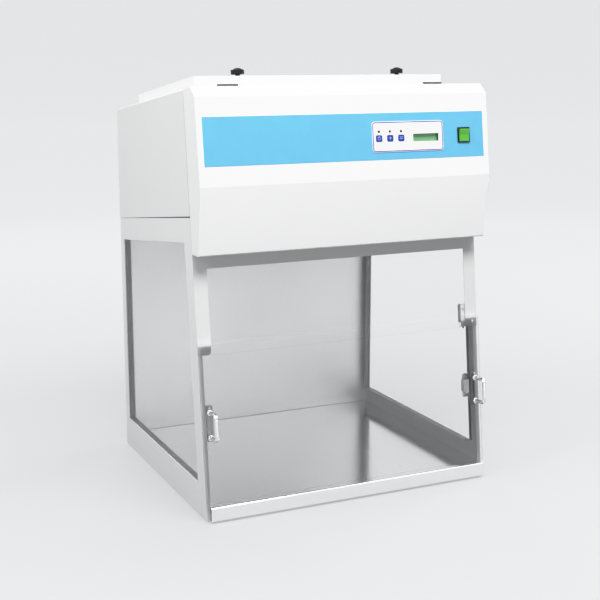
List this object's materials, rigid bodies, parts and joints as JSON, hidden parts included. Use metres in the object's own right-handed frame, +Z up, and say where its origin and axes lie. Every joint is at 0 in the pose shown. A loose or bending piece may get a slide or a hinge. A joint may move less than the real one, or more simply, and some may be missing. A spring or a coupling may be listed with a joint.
{
  "type": "fume hood",
  "caption": "Bench-top fume hood: a glazed chamber with a sliding front screen under a filter and fan head whose hinged front cover carries the controls.",
  "frame": {"origin": "on the bench, under the middle of the hood's width and depth", "axes": "+X to the user's right, +Y towards the back, +Z up"},
  "size_m": [0.65, 0.5791, 0.8898],
  "materials": {
    "white_paint": "satin powder coat",
    "stainless": "satin brushed",
    "galvanised": "dull zinc",
    "screw_steel": "bright zinc",
    "clear_acrylic": "clear, polished",
    "polished_steel": "polished",
    "hinge_grey": "dark grey",
    "black_plastic": "moulded black",
    "black_rubber": "moulded",
    "blue_film": "light blue film",
    "overlay_film": "white film, blue rim",
    "key_blue": "blue",
    "rocker_green": "translucent green",
    "display_green": "green display",
    "display_case": "dark moulding",
    "board_green": "circuit board",
    "filter_casing": "extruded",
    "filter_paper": "pleated",
    "fan_plastic": "moulded",
    "motor_metal": "dark",
    "lamp_glass": "white tube",
    "uv_glass": "clear tube",
    "lamp_plastic": "white moulding",
    "ballast_metal": "extruded"
  },
  "bodies": {
    "cabinet": {"left_side_panel": "white_paint", "right_side_panel": "white_paint", "back_panel": "white_paint", "base_frame": "white_paint", "front_frame": "white_paint", "head_shell": "white_paint", "head_rear_panel": "white_paint", "interlock_bracket": "white_paint", "work_tray": "stainless", "back_liner": "stainless", "fan_plate": "galvanised", "fan_bracket": "galvanised", "deck_grille": "galvanised", "head_bulkhead": "galvanised", "head_deck": "galvanised", "case_screws": "screw_steel", "hinge_pins": "screw_steel", "knob_nuts": "screw_steel", "left_window": "clear_acrylic", "right_window": "clear_acrylic", "upper_screen": "clear_acrylic", "body_hinge_leaves": "hinge_grey", "mains_inlet": "black_plastic", "rubber_feet": "black_rubber", "filter_seal": "black_rubber", "hatch_seal": "black_rubber", "seam_gasket": "black_rubber", "filter_frame": "filter_casing", "filter_media": "filter_paper", "fan_motor": "motor_metal", "white_lamp": "lamp_glass", "uv_lamp": "uv_glass", "lamp_holders": "lamp_plastic", "interlock_switch": "lamp_plastic", "lamp_ballast": "ballast_metal"},
    "front_cover": {"front_cover": "white_paint", "fascia_strip": "blue_film", "control_overlay": "overlay_film", "status_leds": "black_plastic", "display_glass": "display_green", "display_module": "display_case", "control_board": "board_green", "switch_body": "black_plastic", "cover_hinge_leaves": "hinge_grey"},
    "sash": {"sash_screen": "clear_acrylic", "left_handle": "polished_steel", "right_handle": "polished_steel", "left_guide_block": "clear_acrylic", "right_guide_block": "clear_acrylic", "interlock_actuator": "stainless", "handle_screws": "screw_steel"},
    "left_key": {"left_key": "key_blue"},
    "centre_key": {"centre_key": "key_blue"},
    "right_key": {"right_key": "key_blue"},
    "switch_rocker": {"switch_rocker": "rocker_green"},
    "top_hatch": {"top_hatch": "white_paint"},
    "left_knob": {"left_knob": "black_plastic"},
    "right_knob": {"right_knob": "black_plastic"},
    "fan_impeller": {"fan_impeller": "fan_plastic"},
    "interlock_plunger": {"interlock_plunger": "black_plastic"}
  },
  "joints": [
    {"name": "sash_lift", "type": "slide", "parent": "cabinet", "child": "sash", "axis": [0, 0.1115, 0.9938], "range_m": [0, 0.099]},
    {"name": "cover_hinge", "type": "hinge", "parent": "cabinet", "child": "front_cover", "pos_m": [0, -0.16459, 0.85516], "axis": [-1, 0, 0], "range_deg": [0, 85]},
    {"name": "hatch_lift", "type": "slide", "parent": "cabinet", "child": "top_hatch", "axis": [0, 0.1219, 0.9925], "range_m": [0, 0.12]},
    {"name": "left_knob_turn", "type": "hinge", "parent": "top_hatch", "child": "left_knob", "pos_m": [-0.184, -0.09721, 0.88185], "axis": [0, 0.1219, 0.9925], "continuous": true},
    {"name": "right_knob_turn", "type": "hinge", "parent": "top_hatch", "child": "right_knob", "pos_m": [0.184, -0.09721, 0.88185], "axis": [0, 0.1219, 0.9925], "continuous": true},
    {"name": "fan_spin", "type": "hinge", "parent": "cabinet", "child": "fan_impeller", "pos_m": [0, 0.0773, 0.69253], "axis": [0, 0.1219, 0.9925], "continuous": true},
    {"name": "left_key_press", "type": "slide", "parent": "front_cover", "child": "left_key", "axis": [0, 0.9911, -0.133], "range_m": [0, 0.0006], "stiffness_N_per_m": 600, "springref_m": -0.0002},
    {"name": "centre_key_press", "type": "slide", "parent": "front_cover", "child": "centre_key", "axis": [0, 0.9911, -0.133], "range_m": [0, 0.0006], "stiffness_N_per_m": 600, "springref_m": -0.0002},
    {"name": "right_key_press", "type": "slide", "parent": "front_cover", "child": "right_key", "axis": [0, 0.9911, -0.133], "range_m": [0, 0.0006], "stiffness_N_per_m": 600, "springref_m": -0.0002},
    {"name": "rocker_tilt", "type": "hinge", "parent": "front_cover", "child": "switch_rocker", "pos_m": [0.2646, -0.23893, 0.75202], "axis": [-1, 0, 0], "range_deg": [0, 16]},
    {"name": "interlock_plunger_press", "type": "slide", "parent": "cabinet", "child": "interlock_plunger", "axis": [0, 0.1115, 0.9938], "range_m": [0, 0.003], "stiffness_N_per_m": 150, "springref_m": -0.002}
  ]
}
